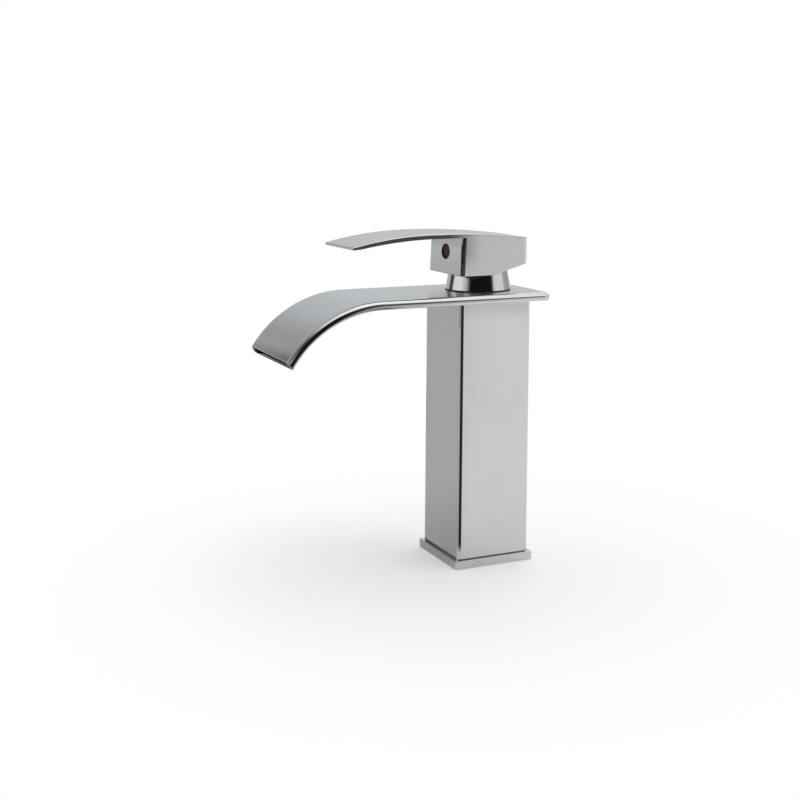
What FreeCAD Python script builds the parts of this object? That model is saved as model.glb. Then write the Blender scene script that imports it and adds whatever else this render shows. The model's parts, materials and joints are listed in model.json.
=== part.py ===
import FreeCAD, Part

import os
from math import cos, hypot, radians, sin, sqrt, tan

Vector = FreeCAD.Vector

# Single-lever basin faucet with a flat waterfall spout, in millimetres.
# The origin is the middle of the base where it meets the deck, +Z is up and the spout points to -Y.
# Seen by a person in front of the basin, hot is on the left (-X) and cold on the right (+X).

# Clearances
fit_gap = 0.1                   # between pieces that are pushed together by hand
braze_gap = 0.05                # between pieces that are soldered together
running_gap = 0.05              # between a pin or a sealing ring and what it turns in
slide_gap = 0.2                 # between the moving pieces inside the cartridge
disc_film = 0.02                # water film between the two ceramic discs

# Cartridge, of the 25 mm size
cartridge_radius = 12.4
cartridge_wall = 1.5
shoulder_width = 1.5            # flange of the housing that the ring nut presses on
shoulder_thickness = 3.0
shoulder_depth = 4.6            # top of that flange below the top of the spout
cartridge_depth = 17.5          # from the underside of the flange down to the seat
base_flange_thickness = 3.5
base_spigot_height = 3.0
disc_thickness = 4.0
collar_above_pin = 2.8          # turning collar's full width ends this far above the cross pin
neck_height = 4.2               # collar's neck, inside the housing's top lip
neck_step = 1.2                 # the neck's radius is this much smaller
collar_ring_radius = 0.6        # section of the ring round the collar
collar_ring_drop = 3.0          # that ring lies this far below the cross pin
mixing_wall = 3.4               # ceramic left round the hollow in the moving disc
mixing_depth = 2.0
carrier_inset = 0.6             # corners of the disc carrier inside the edge of the moving disc
carrier_height = 4.1
carrier_peg_radius = 1.2
carrier_peg_depth = 1.5
carrier_peg_web = 0.5           # between a peg and the pocket for the ball
locating_peg_radius = 1.4       # pegs that index the cartridge in its seat
locating_peg_depth = 1.5
locating_peg_angle = 30.0       # below the X axis, degrees

# Ports of the cartridge
port_edge = 2.2                 # outside the port seals
inlet_port_radius = 2.4
inlet_port_angle = 31.0         # above the X axis, degrees
outlet_port_radius = 3.2
seal_width = 1.0
seal_thickness = 1.5
seal_stand_out = 0.5            # how far a port seal stands out of the cartridge

# Stem
stem_side = 7.0                 # square shank
stem_chamfer = 0.6
stem_hub_drop = 3.6             # the shank ends this far below the cross pin
stem_neck_radius = 1.8
stem_arm = 9.0                  # from the cross pin down to the ball
ball_radius = 2.4
pivot_pin_radius = 1.25
lift_angle = 25.0               # full lift of the lever, degrees

# Ring nut over the cartridge
nut_height = 5.9                # above the spout
nut_slot_width = 3.0
nut_slot_depth = 1.6
nut_slots = 4

# Valve body
cup_wall = 2.4
cup_floor = 8.5
flange_thickness = 9.0
outlet_side_radius = 2.8        # hole from the outlet port into the column
outlet_side_sill = 0.7          # that hole is this far above the flange

# Inlet tubes
tube_radius = 4.5
tube_wall = 1.0
tube_socket_depth = 5.0
tube_end_room = 1.0             # between the end of a tube and the floor of its socket
tube_ring_radius = 0.8          # section of the rings at the tube ends

# Inlet block, with the threads for the supply hoses and for the fixing stud
inlet_web = 2.1                 # between the seats of the two inlet tubes
inlet_y = 4.5
inlet_floor = 1.0               # between a hose thread and the socket above it
hose_thread_radius = 4.5        # M10 x 1, at its minor diameter
hose_thread_depth = 10.0
stud_y = -9.5
stud_thread_radius = 3.4        # M8, at its minor diameter
stud_floor = 2.0                # left above the blind end of the stud's thread

# Column
water_gap = 1.9                 # water rises here, between the valve body and the column
column_wall = 2.6
column_height = 139.5           # what shows between the base and the spout
column_corner_radius = 2.0
column_draft = 0.55             # the column is this much wider at its foot, on each side
column_bore_corner_radius = 1.0

# Base
base_overhang = 2.0
base_thickness = 4.6
base_corner_radius = 1.2
base_edge_radius = 0.5
base_seat_depth = 1.2           # the column stands this deep in the base
base_opening_room = 2.5         # round the hose threads
gasket_inset = 2.0
gasket_width = 3.5
gasket_thickness = 2.0

# Spout
spout_side_overhang = 8.7
spout_back_overhang = 7.7
spout_thickness = 4.5
spout_wall = 1.35               # sheet above and below the water channel
spout_top_edge_radius = 3.0
spout_foot_edge_radius = 1.2
spout_corner_radius = 4.0
spout_lip_radius = 0.35         # rounding all round the open end
spout_end_lead = 1.9            # at the open end the underside runs on this far past the top
spout_straight_reach = 67.5     # from the column's axis to the start of the bend
spout_bend_radius = 62.0
spout_bend_angle = 56.2         # of the top surface, degrees
channel_side_wall = 5.2         # solid rail along each side of the water channel
mouth_wall = 0.6                # sheet left above and below the channel at the open end
mouth_depth = 2.5
lower_plate_ledge = 1.7         # how far the lower plate laps over the rails
lower_plate_lap = 1.6           # how far it reaches past the column at the back

# Conical cover between spout and lever
cone_foot = 1.3                 # its foot is this much wider than the valve body
cone_height = 10.8
cone_wall = 1.5
cone_taper = 11.25              # degrees from the vertical
cone_rim_radius = 0.5
cone_mouth_gap = 0.4            # round the cartridge
cover_seal_thickness = 0.6      # flat seal under the cover's foot
cover_seal_inset = 0.3          # inside the foot's edge, all round
cover_seal_width = 1.0
cover_ring_height = 1.2         # the ring that grips the cover, above the spout

# Lever
lever_gap = 9.1                 # underside of the lever's block above the spout
lever_swing_gap = 0.5           # between the lever's hollow and the cone
lever_wall = 3.2
lever_edge_radius = 0.9         # of the top edge, at the crown
lever_tip_edge_radius = 0.4
lever_reach = 80.15             # tip in front of the axis
lever_tip_drop = 5.5            # the top falls by this much from the crown to the tip
lever_tip_thickness = 1.3
lever_tip_corner_radius = 0.8
lever_nose_length = 4.5         # the underside rises to the thin tip over this length
lever_crown_reach = 33.0        # the highest point is this far in front of the axis
blade_thickness = 2.55          # at the crown
blade_end_thickness = 1.8       # where the blade would end without the nose
front_wall = 2.4
back_wall = 1.8
block_front_extra = 0.3         # the block's foot stands out more to the front than to the sides
block_front_lean = 1.0          # the front face leans back by this much at the top
block_back_drop = 3.3           # the top falls by this much from the crown to the back
block_back_rise = 5.7           # the rear underside rises by this much, to make room for the lift
block_flat_end = 1.0            # the flat underside ends this far in front of the axis
block_front_radius = 2.1
block_back_radius = 2.8
block_crown_radius = 0.5        # and at the back
block_edge_radius = 0.5
lever_hollow_corner_radius = 2.0
roof_wall = 2.55
boss_wall = 3.0                 # round the stem's socket
boss_swing_room = 5.2           # the boss hangs this far above the cone
socket_above_screw = 3.9
ceiling_above_socket = 1.1

# Index plug and set screw in the lever's front face
index_radius = 4.1              # half the plug's height
index_half_width = 4.9
index_rim = 0.7                 # boss below the plug's seat
index_recess = 0.4
index_plug_thickness = 2.0
index_crown = 0.25
index_back_gap = 0.6            # behind the plug
screw_radius = 2.45             # M5
screw_length = 9.0
screw_socket_radius = 1.45
screw_socket_depth = 3.0

# Heights, from the deck up to the spout
column_foot = base_thickness - base_seat_depth
spout_underside = base_thickness + column_height
spout_top = spout_underside + spout_thickness
inlet_block_height = hose_thread_depth + inlet_floor + tube_socket_depth
inlet_block_top = column_foot + inlet_block_height

# Heights, from the spout down to the cartridge's seat and the valve body's flange
shoulder_top = spout_top - shoulder_depth
shoulder_foot = shoulder_top - shoulder_thickness
seat_level = shoulder_foot - cartridge_depth
flange_top = seat_level - cup_floor
flange_foot = flange_top - flange_thickness

# Heights, from the seat up through the cartridge
cartridge_foot = seat_level + seal_stand_out
housing_foot = cartridge_foot + base_flange_thickness
fixed_disc_foot = housing_foot + base_spigot_height
moving_disc_foot = fixed_disc_foot + disc_thickness + disc_film
moving_disc_top = moving_disc_foot + disc_thickness
carrier_foot = moving_disc_top + running_gap
carrier_top = carrier_foot + carrier_height
collar_foot = moving_disc_top + fit_gap
ball_level = moving_disc_top + ball_radius + fit_gap
pivot_level = ball_level + stem_arm
collar_ring_level = pivot_level - pivot_pin_radius - collar_ring_drop
collar_top = pivot_level + collar_above_pin
housing_top = collar_top + neck_height

# Heights, from the cone up through the lever
cone_top = spout_top + cone_height
block_foot = spout_top + lever_gap
boss_foot = cone_top + boss_swing_room
index_level = boss_foot + index_rim + index_radius
socket_roof = index_level + socket_above_screw
lever_ceiling = socket_roof + ceiling_above_socket
lever_crown = lever_ceiling + roof_wall + block_back_drop

# Radii, from the axis out to the column's faces
shoulder_radius = cartridge_radius + shoulder_width
cup_bore_radius = cartridge_radius + slide_gap
nut_radius = shoulder_radius + fit_gap
nut_bore_radius = cartridge_radius + fit_gap
nut_seat_radius = nut_radius + fit_gap
cup_radius = nut_seat_radius + cup_wall
column_bore_half = cup_radius + water_gap
column_half = column_bore_half + column_wall
base_half = column_half + column_draft + base_overhang
spout_half = column_half + spout_side_overhang
spout_back = column_half + spout_back_overhang

# Radii inside the cartridge; the moving disc runs half its travel to each side of the axis
disc_travel = stem_arm * sin(radians(lift_angle))
disc_offset = disc_travel / 2
housing_bore_radius = cartridge_radius - cartridge_wall
collar_radius = housing_bore_radius - slide_gap
neck_radius = collar_radius - neck_step
moving_disc_radius = housing_bore_radius - disc_offset - fit_gap
carrier_half = (moving_disc_radius - carrier_inset) * sqrt(0.5)
ball_pocket_half = ball_radius + fit_gap

# Places of the ports, threads and pegs
inlet_port_reach = cartridge_radius - port_edge - seal_width - inlet_port_radius
inlet_port_x = inlet_port_reach * cos(radians(inlet_port_angle))
inlet_port_y = inlet_port_reach * sin(radians(inlet_port_angle))
outlet_port_y = outlet_port_radius + seal_width + port_edge - cartridge_radius
locating_peg_reach = cartridge_radius - port_edge
tube_ring_seat_radius = tube_radius + 2 * tube_ring_radius + 2 * running_gap
inlet_x = tube_ring_seat_radius + inlet_web / 2
base_opening_radius = hypot(inlet_x, inlet_y) + hose_thread_radius + base_opening_room
inlet_places = [(-inlet_x, inlet_y), (inlet_x, inlet_y)]
inlet_port_places = [(-inlet_port_x, inlet_port_y), (inlet_port_x, inlet_port_y)]

# Spout channel and lower plate
channel_half = spout_half - channel_side_wall
channel_foot_depth = spout_thickness - spout_wall
lower_plate_half = channel_half + lower_plate_ledge
lower_plate_back = column_half + lower_plate_lap
past_tip = 1.1 * spout_bend_angle       # cuts run on round the bend, past the tip

# Cone and lever
cone_foot_radius = cup_radius + cone_foot


def cone_radius_at(z):
    return cone_foot_radius - (z - spout_top) * tan(radians(cone_taper))


cover_ring_level = spout_top + cover_ring_height
cover_ring_room = cone_radius_at(cover_ring_level) - cone_wall - nut_radius
lever_hollow_half = cone_radius_at(block_foot) + lever_swing_gap
lever_half = lever_hollow_half + lever_wall
block_front = -(lever_half + block_front_extra)
block_back = lever_half
hollow_front = block_front + front_wall
boss_half = stem_side / 2 + boss_wall


def front_face_at(z):
    """The block's leaning front face at a height."""
    return block_front + block_front_lean * (z - block_foot) / (lever_crown - block_foot)


index_face = front_face_at(index_level)
index_floor = index_face + index_recess + index_plug_thickness + index_back_gap

# An edge counts as lying on a surface within this distance
near = 0.01


# Simple shapes


def box(x0, x1, y0, y1, z0, z1):
    return Part.makeBox(x1 - x0, y1 - y0, z1 - z0, Vector(x0, y0, z0))


def cylinder(radius, z0, z1, x=0.0, y=0.0):
    return Part.makeCylinder(radius, z1 - z0, Vector(x, y, z0))


def cylinder_along_x(radius, half_length, z):
    return Part.makeCylinder(radius, 2 * half_length, Vector(-half_length, 0, z), Vector(1, 0, 0))


def cylinder_along_y(radius, y0, y1, z):
    return Part.makeCylinder(radius, y1 - y0, Vector(0, y0, z), Vector(0, 1, 0))


def tube(outer, inner, z0, z1, x=0.0, y=0.0):
    return cylinder(outer, z0, z1, x, y).cut(cylinder(inner, z0, z1, x, y))


def ring(radius, section, z, x=0.0, y=0.0):
    return Part.makeTorus(radius, section, Vector(x, y, z))


def line(start, end):
    return Part.LineSegment(start, end).toShape()


def arc(start, through, end):
    return Part.Arc(start, through, end).toShape()


def rounded_rectangle(x_half, y0, y1, z, front_radius, back_radius):
    """Outline with the corners at y0 rounded by front_radius and those at y1 by back_radius."""
    corners = [(-1, -1, front_radius), (1, -1, front_radius), (1, 1, back_radius), (-1, 1, back_radius)]
    arcs = []
    for across, along, radius in corners:
        end_y = y0 if along < 0 else y1
        centre = Vector(across * (x_half - radius), end_y - along * radius, z)
        on_side = centre + Vector(across * radius, 0, 0)
        on_end = centre + Vector(0, along * radius, 0)
        middle = centre + Vector(across, along, 0) * (radius * sqrt(0.5))
        start, end = (on_side, on_end) if across == along else (on_end, on_side)
        arcs.append((start, middle, end))
    edges = []
    for i, (start, middle, end) in enumerate(arcs):
        edges.append(arc(start, middle, end))
        edges.append(line(end, arcs[(i + 1) % len(arcs)][0]))
    return Part.Wire(edges)


def rounded_prism(x_half, y0, y1, z0, z1, front_radius, back_radius):
    outline = rounded_rectangle(x_half, y0, y1, z0, front_radius, back_radius)
    return Part.Face(outline).extrude(Vector(0, 0, z1 - z0))


def square_prism(half, z0, z1, radius):
    return rounded_prism(half, -half, half, z0, z1, radius, radius)


def side_slab(edges, half):
    """A closed outline in the YZ plane, extruded across to both sides."""
    face = Part.Face(Part.Wire(edges))
    face.translate(Vector(-half, 0, 0))
    return face.extrude(Vector(2 * half, 0, 0))


def edges_on(shape, test):
    """Edges whose ends and middle all pass the test."""
    found = []
    for edge in shape.Edges:
        points = [vertex.Point for vertex in edge.Vertexes]
        points.append(edge.valueAt((edge.FirstParameter + edge.LastParameter) / 2))
        if all(test(point) for point in points):
            found.append(edge)
    return found


# Base


def gasket_ring(gap):
    """Square ring under the base; the gap makes it smaller than its groove."""
    outer = base_half - gasket_inset
    inner = outer - gasket_width
    solid = square_prism(outer - gap, 0, gasket_thickness - gap, base_corner_radius)
    return solid.cut(square_prism(inner + gap, 0, gasket_thickness, base_corner_radius))


def make_base_gasket():
    return gasket_ring(fit_gap)


def make_base_plate():
    plate = square_prism(base_half, 0, base_thickness, base_corner_radius)
    rim = edges_on(plate, lambda p: p.z > base_thickness - near)
    plate = plate.makeFillet(base_edge_radius, rim)
    seat_radius = column_corner_radius + fit_gap
    seat = square_prism(column_half + column_draft + fit_gap, column_foot, base_thickness, seat_radius)
    opening = cylinder(base_opening_radius, 0, base_thickness)
    return plate.cut([seat, opening, gasket_ring(0)])


# Column and what carries the water up in it


def make_column_shell():
    outlines = []
    for level, half in ((column_foot, column_half + column_draft), (spout_underside, column_half)):
        radius = column_corner_radius
        outlines.append(rounded_rectangle(half, -half, half, level, radius, radius))
    outer = Part.makeLoft(outlines, True, True)
    return outer.cut(square_prism(column_bore_half, column_foot, spout_underside, column_bore_corner_radius))


def column_filler(z0, z1):
    """A block soldered into the column."""
    return square_prism(column_bore_half - braze_gap, z0, z1, column_bore_corner_radius)


def make_inlet_block():
    stud_thread = cylinder(stud_thread_radius, column_foot, inlet_block_top - stud_floor, 0, stud_y)
    ring_seat_foot = inlet_block_top - 2 * tube_ring_radius - fit_gap
    socket_foot = inlet_block_top - tube_socket_depth
    cuts = [stud_thread]
    for x, y in inlet_places:
        cuts.append(cylinder(hose_thread_radius, column_foot, column_foot + hose_thread_depth, x, y))
        cuts.append(cylinder(tube_radius - tube_wall, column_foot, inlet_block_top, x, y))
        cuts.append(cylinder(tube_radius + braze_gap, socket_foot, inlet_block_top, x, y))
        cuts.append(cylinder(tube_ring_seat_radius, ring_seat_foot, inlet_block_top, x, y))
    return column_filler(column_foot, inlet_block_top).cut(cuts)


def make_inlet_tube(x, y):
    low = inlet_block_top - tube_socket_depth + tube_end_room
    high = flange_foot + tube_socket_depth - tube_end_room
    return tube(tube_radius, tube_radius - tube_wall, low, high, x, y)


def make_inlet_tube_rings():
    radius = tube_radius + tube_ring_radius + running_gap
    levels = (inlet_block_top - tube_ring_radius, flange_foot + tube_ring_radius)
    rings = []
    for x, y in inlet_places:
        rings += [ring(radius, tube_ring_radius, z, x, y) for z in levels]
    return Part.makeCompound(rings)


def locating_pegs(gap):
    """The two pegs under the cartridge; the gap makes their holes larger."""
    x = locating_peg_reach * cos(radians(locating_peg_angle))
    y = -locating_peg_reach * sin(radians(locating_peg_angle))
    low = cartridge_foot - locating_peg_depth - gap
    return [cylinder(locating_peg_radius + gap, low, cartridge_foot, side * x, y) for side in (-1, 1)]


def make_valve_body():
    body = column_filler(flange_foot, flange_top).fuse(cylinder(cup_radius, flange_top, spout_top))
    side_level = flange_top + outlet_side_sill + outlet_side_radius
    socket_roof_level = flange_foot + tube_socket_depth
    ring_seat_roof = flange_foot + 2 * tube_ring_radius + fit_gap
    cuts = locating_pegs(fit_gap)
    cuts.append(cylinder(cup_bore_radius, seat_level, spout_top))
    cuts.append(cylinder(nut_seat_radius, shoulder_foot, spout_top))
    cuts.append(cylinder(outlet_port_radius, side_level, seat_level, 0, outlet_port_y))
    cuts.append(cylinder_along_y(outlet_side_radius, -column_half, outlet_port_y, side_level))
    for x, y in inlet_places:
        cuts.append(cylinder(tube_radius + braze_gap, flange_foot, socket_roof_level, x, y))
        cuts.append(cylinder(tube_ring_seat_radius, flange_foot, ring_seat_roof, x, y))
    for x, y in inlet_port_places:
        cuts.append(cylinder(inlet_port_radius, socket_roof_level - tube_end_room, seat_level, x, y))
    return body.cut(cuts).removeSplitter()


# Spout


def bend_line(depth, turn=spout_bend_angle):
    """Start, middle and end of the bend, at a depth under the top surface."""
    radius = spout_bend_radius - depth
    lead = spout_end_lead * depth / spout_thickness
    end = radians(turn) + lead / radius
    centre = Vector(0, -spout_straight_reach, spout_top - spout_bend_radius)
    return [centre + Vector(0, -radius * sin(angle), radius * cos(angle)) for angle in (0, end / 2, end)]


def spout_layer(depth_top, depth_foot, half, back, turn=spout_bend_angle):
    """The part of the bent plate between two depths under its top surface."""
    top = bend_line(depth_top, turn)
    foot = bend_line(depth_foot, turn)
    top_back = Vector(0, back, spout_top - depth_top)
    foot_back = Vector(0, back, spout_top - depth_foot)
    edges = [
        line(top_back, top[0]),
        arc(*top),
        line(top[2], foot[2]),
        arc(*reversed(foot)),
        line(foot[0], foot_back),
        line(foot_back, top_back),
    ]
    return side_slab(edges, half)


def on_spout_tip(edge):
    """True for an edge of the spout's open end."""
    upper = bend_line(0)[2]
    facing = (bend_line(spout_thickness)[2] - upper).cross(Vector(1, 0, 0)).normalize()
    return all(abs((vertex.Point - upper).dot(facing)) < near for vertex in edge.Vertexes)


def spout_depth(p):
    """Depth of a point under the spout's top surface."""
    if p.y > -spout_straight_reach:
        return spout_top - p.z
    return spout_bend_radius - hypot(p.y + spout_straight_reach, p.z - spout_top + spout_bend_radius)


def on_spout_rim(edge, depth):
    """True for an edge along the spout's sides or back, at a depth under the top surface."""
    middle = edge.valueAt((edge.FirstParameter + edge.LastParameter) / 2)
    beside = abs(middle.x) > spout_half / 2 or middle.y > 0
    return beside and abs(spout_depth(middle) - depth) < near and not on_spout_tip(edge)


def rounded_spout_plate():
    plate = spout_layer(0, spout_thickness, spout_half, spout_back)
    back_corners = edges_on(plate, lambda p: p.y > spout_back - near and abs(p.x) > spout_half - near)
    plate = plate.makeFillet(spout_corner_radius, back_corners)
    share = min(1, 0.95 * spout_thickness / (spout_top_edge_radius + spout_foot_edge_radius))
    for depth, radius in ((spout_thickness, spout_foot_edge_radius), (0, spout_top_edge_radius)):
        rim = [edge for edge in plate.Edges if on_spout_rim(edge, depth)]
        plate = plate.makeFillet(share * radius, rim)
    lip = [edge for edge in plate.Edges if on_spout_tip(edge)]
    return plate.makeFillet(min(spout_lip_radius, 0.9 * share * spout_foot_edge_radius), lip)


def make_spout_mouth():
    """The channel's widened end."""
    before_mouth = spout_bend_angle * (1 - mouth_depth / (radians(spout_bend_angle) * spout_bend_radius))
    mouth = spout_layer(mouth_wall, spout_thickness - mouth_wall, channel_half, column_half, past_tip)
    return mouth.cut(spout_layer(0, spout_thickness, spout_half, spout_back, before_mouth))


def make_spout_upper_shell():
    channel = spout_layer(spout_wall, channel_foot_depth, channel_half, column_half, past_tip)
    recess_half = lower_plate_half + braze_gap
    recess_back = lower_plate_back + braze_gap
    recess = spout_layer(channel_foot_depth, spout_thickness, recess_half, recess_back, past_tip)
    neck_hole = cylinder(cup_radius + braze_gap, spout_underside, spout_top)
    return rounded_spout_plate().cut([channel, make_spout_mouth(), recess, neck_hole])


def make_spout_lower_plate():
    depth = channel_foot_depth + braze_gap
    plate = spout_layer(depth, spout_thickness, lower_plate_half, lower_plate_back, past_tip)
    plate = plate.common(rounded_spout_plate())
    way_up = square_prism(column_bore_half, spout_underside, spout_top, column_bore_corner_radius)
    return plate.cut([make_spout_mouth(), way_up])


# Cartridge


def make_cartridge_housing():
    shell = cylinder(cartridge_radius, housing_foot, housing_top)
    shell = shell.fuse(cylinder(shoulder_radius, shoulder_foot, shoulder_top))
    bore = cylinder(housing_bore_radius, housing_foot, collar_top + slide_gap)
    mouth = cylinder(neck_radius + slide_gap, housing_foot, housing_top)
    return shell.cut([bore, mouth]).removeSplitter()


def ports(z0, z1, widen=0.0):
    """The two inlets and the outlet, between two heights."""
    cuts = [cylinder(inlet_port_radius + widen, z0, z1, x, y) for x, y in inlet_port_places]
    cuts.append(cylinder(outlet_port_radius + widen, z0, z1, 0, outlet_port_y))
    return cuts


def make_cartridge_base():
    flange = cylinder(cartridge_radius, cartridge_foot, housing_foot)
    spigot = cylinder(housing_bore_radius - fit_gap, housing_foot, fixed_disc_foot)
    base = flange.fuse([spigot] + locating_pegs(0))
    seal_seats = ports(cartridge_foot, seat_level + seal_thickness, seal_width + fit_gap)
    return base.cut(ports(cartridge_foot, fixed_disc_foot) + seal_seats).removeSplitter()


def make_port_seals():
    top = seat_level + seal_thickness
    outer = ports(seat_level, top, seal_width)
    inner = ports(seat_level, top)
    return Part.makeCompound([whole.cut(hole) for whole, hole in zip(outer, inner)])


def make_fixed_disc():
    top = fixed_disc_foot + disc_thickness
    return cylinder(housing_bore_radius - slide_gap, fixed_disc_foot, top).cut(ports(fixed_disc_foot, top))


def carrier_pegs(gap):
    """The two pegs that drive the moving disc; the gap makes their holes larger."""
    x = ball_pocket_half + carrier_peg_web + carrier_peg_radius
    low = moving_disc_top - carrier_peg_depth - gap
    return [cylinder(carrier_peg_radius + gap, low, carrier_foot, side * x, disc_offset) for side in (-1, 1)]


def make_moving_disc():
    disc = cylinder(moving_disc_radius, moving_disc_foot, moving_disc_top, 0, disc_offset)
    hollow_radius = moving_disc_radius - mixing_wall
    hollow = cylinder(hollow_radius, moving_disc_foot, moving_disc_foot + mixing_depth, 0, disc_offset)
    return disc.cut([hollow] + carrier_pegs(running_gap))


def make_disc_carrier():
    low, high = disc_offset - carrier_half, disc_offset + carrier_half
    carrier = box(-carrier_half, carrier_half, low, high, carrier_foot, carrier_top)
    half = ball_pocket_half
    pocket = box(-half, half, -half, half, carrier_foot, carrier_top)
    return carrier.cut(pocket).fuse(carrier_pegs(0)).removeSplitter()


def make_turning_collar():
    collar = cylinder(collar_radius, collar_foot, collar_top)
    collar = collar.fuse(cylinder(neck_radius, collar_top, housing_top))
    way_top = carrier_top + slide_gap
    way_half = carrier_half + slide_gap
    slide_way = box(-way_half, way_half, -collar_radius, collar_radius, collar_foot, way_top)
    # The stem leans back above the pin and swings forward below it
    lean = radians(lift_angle)
    above_pin = housing_top - pivot_level
    slot_back = (stem_side / 2 + above_pin * sin(lean)) / cos(lean) + slide_gap
    slot_front = disc_travel + ball_radius + slide_gap
    slot_half = stem_side / 2 + slide_gap
    slot = box(-slot_half, slot_half, -slot_front, slot_back, way_top, housing_top)
    groove_floor = housing_bore_radius - 2 * collar_ring_radius - 2 * running_gap
    groove_half = collar_ring_radius + fit_gap
    groove_foot = collar_ring_level - groove_half
    groove = tube(collar_radius, groove_floor, groove_foot, groove_foot + 2 * groove_half)
    pin_hole = cylinder_along_x(pivot_pin_radius, collar_radius, pivot_level)
    return collar.cut([slide_way, slot, groove, pin_hole]).removeSplitter()


def make_turning_collar_ring():
    return ring(housing_bore_radius - collar_ring_radius - running_gap, collar_ring_radius, collar_ring_level)


def make_stem_pin():
    return cylinder_along_x(pivot_pin_radius - running_gap / 2, collar_radius - slide_gap, pivot_level)


def make_stem():
    half = stem_side / 2
    hub_foot = pivot_level - stem_hub_drop
    top = socket_roof - fit_gap
    shank = box(-half, half, -half, half, hub_foot, top)
    shank = shank.makeChamfer(stem_chamfer, edges_on(shank, lambda p: p.z > top - near))
    neck = cylinder(stem_neck_radius, ball_level, hub_foot)
    ball = Part.makeSphere(ball_radius, Vector(0, 0, ball_level))
    pin_hole = cylinder_along_x(pivot_pin_radius + running_gap, half, pivot_level)
    return shank.fuse([neck, ball]).cut(pin_hole).removeSplitter()


def make_ring_nut():
    top = spout_top + nut_height
    nut = tube(nut_radius, nut_bore_radius, shoulder_top, top)
    half = nut_slot_width / 2
    for i in range(nut_slots):
        slot = box(0, 2 * nut_radius, -half, half, top - nut_slot_depth, top)
        slot.rotate(Vector(0, 0, 0), Vector(0, 0, 1), 360.0 * i / nut_slots)
        nut = nut.cut(slot)
    return nut


# Conical cover


def make_cone_cover():
    foot = spout_top + cover_seal_thickness
    shell = Part.makeCone(cone_radius_at(foot), cone_radius_at(cone_top), cone_top - foot, Vector(0, 0, foot))
    shell = shell.makeFillet(cone_rim_radius, edges_on(shell, lambda p: p.z > cone_top - near))
    roof = cone_top - cone_wall
    hollow_foot_radius = cone_foot_radius - cone_wall
    hollow_top_radius = cone_radius_at(roof) - cone_wall
    hollow = Part.makeCone(hollow_foot_radius, hollow_top_radius, roof - spout_top, Vector(0, 0, spout_top))
    mouth = cylinder(cartridge_radius + cone_mouth_gap, spout_top, cone_top)
    return shell.cut([hollow, mouth])


def make_cone_cover_seal():
    radius = cone_foot_radius - cover_seal_inset
    foot = spout_top + cover_seal_thickness
    return cylinder(radius, spout_top, foot).cut(cylinder(radius - cover_seal_width, spout_top, foot))


def make_cone_cover_ring():
    section = cover_ring_room / 2 - running_gap
    return ring(nut_radius + cover_ring_room / 2, section, cover_ring_level)


# Lever


def crown_radius(run, drop):
    """Radius of an arc that is level at the crown and drops by drop over a run."""
    return (run * run + drop * drop) / (2 * drop)


def crown_drop(run, radius):
    return radius - sqrt(radius * radius - run * run)


def crown_arc(crown_z, end_y, drop):
    """Crown, middle and end of an arc that has dropped by drop at end_y."""
    run = end_y + lever_crown_reach
    half_drop = crown_drop(run / 2, crown_radius(run, drop))
    crown = Vector(0, -lever_crown_reach, crown_z)
    middle = Vector(0, run / 2 - lever_crown_reach, crown_z - half_drop)
    end = Vector(0, end_y, crown_z - drop)
    return crown, middle, end


def lever_top_line():
    """Tip, back and the two arcs of the lever's top line."""
    crown, front_middle, tip = crown_arc(lever_crown, -lever_reach, lever_tip_drop)
    crown, back_middle, back = crown_arc(lever_crown, block_back, block_back_drop)
    return tip, back, [arc(tip, front_middle, crown), arc(crown, back_middle, back)]


def make_blade():
    tip, back, top_line = lever_top_line()
    underside_drop = lever_tip_drop + blade_end_thickness - blade_thickness
    underside_radius = crown_radius(lever_reach - lever_crown_reach, underside_drop)
    nose_y = lever_nose_length - lever_reach
    nose_drop = crown_drop(nose_y + lever_crown_reach, underside_radius)
    crown, middle, nose = crown_arc(lever_crown - blade_thickness, nose_y, nose_drop)
    tip_foot = tip - Vector(0, 0, lever_tip_thickness)
    block_start = Vector(0, hollow_front, crown.z)
    back_foot = Vector(0, block_back, lever_ceiling)
    edges = top_line + [
        line(back, back_foot),
        line(back_foot, block_start),
        line(block_start, crown),
        arc(crown, middle, nose),
        line(nose, tip_foot),
        line(tip_foot, tip),
    ]
    front, above = -lever_reach, 2 * lever_crown
    plan = rounded_prism(lever_half, front, block_back, 0, above, lever_tip_corner_radius, block_back_radius)
    return side_slab(edges, lever_half).common(plan)


def make_block():
    outlines = []
    for level in (block_foot, lever_crown):
        front = front_face_at(level)
        outlines.append(
            rounded_rectangle(lever_half, front, block_back, level, block_front_radius, block_back_radius)
        )
    prism = Part.makeLoft(outlines, True, True)
    tip, back, top_line = lever_top_line()
    flat_front = Vector(0, tip.y, block_foot)
    flat_end = Vector(0, -block_flat_end, block_foot)
    back_foot = Vector(0, back.y, block_foot + block_back_rise)
    side = top_line + [
        line(back, back_foot),
        line(back_foot, flat_end),
        line(flat_end, flat_front),
        line(flat_front, tip),
    ]
    return prism.common(side_slab(side, 2 * lever_half))


def on_lever_top(p):
    """True for a point on the edge of the lever's top surface, short of the tip."""
    run = p.y + lever_crown_reach
    end_y, drop = (-lever_reach, lever_tip_drop) if run < 0 else (block_back, block_back_drop)
    radius = crown_radius(end_y + lever_crown_reach, drop)
    level = lever_crown - crown_drop(run, radius)
    return abs(level - p.z) < near and p.y > -lever_reach + lever_tip_corner_radius - near


def top_edge_radius(p):
    """Rounding of the lever's top edge, widest at the crown."""
    from_crown = p.y + lever_crown_reach
    if from_crown < 0:
        end_radius = lever_tip_edge_radius
        share = -from_crown / (lever_reach - lever_crown_reach)
    else:
        end_radius = block_crown_radius
        share = from_crown / (block_back + lever_crown_reach)
    return lever_edge_radius + (end_radius - lever_edge_radius) * share


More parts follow.
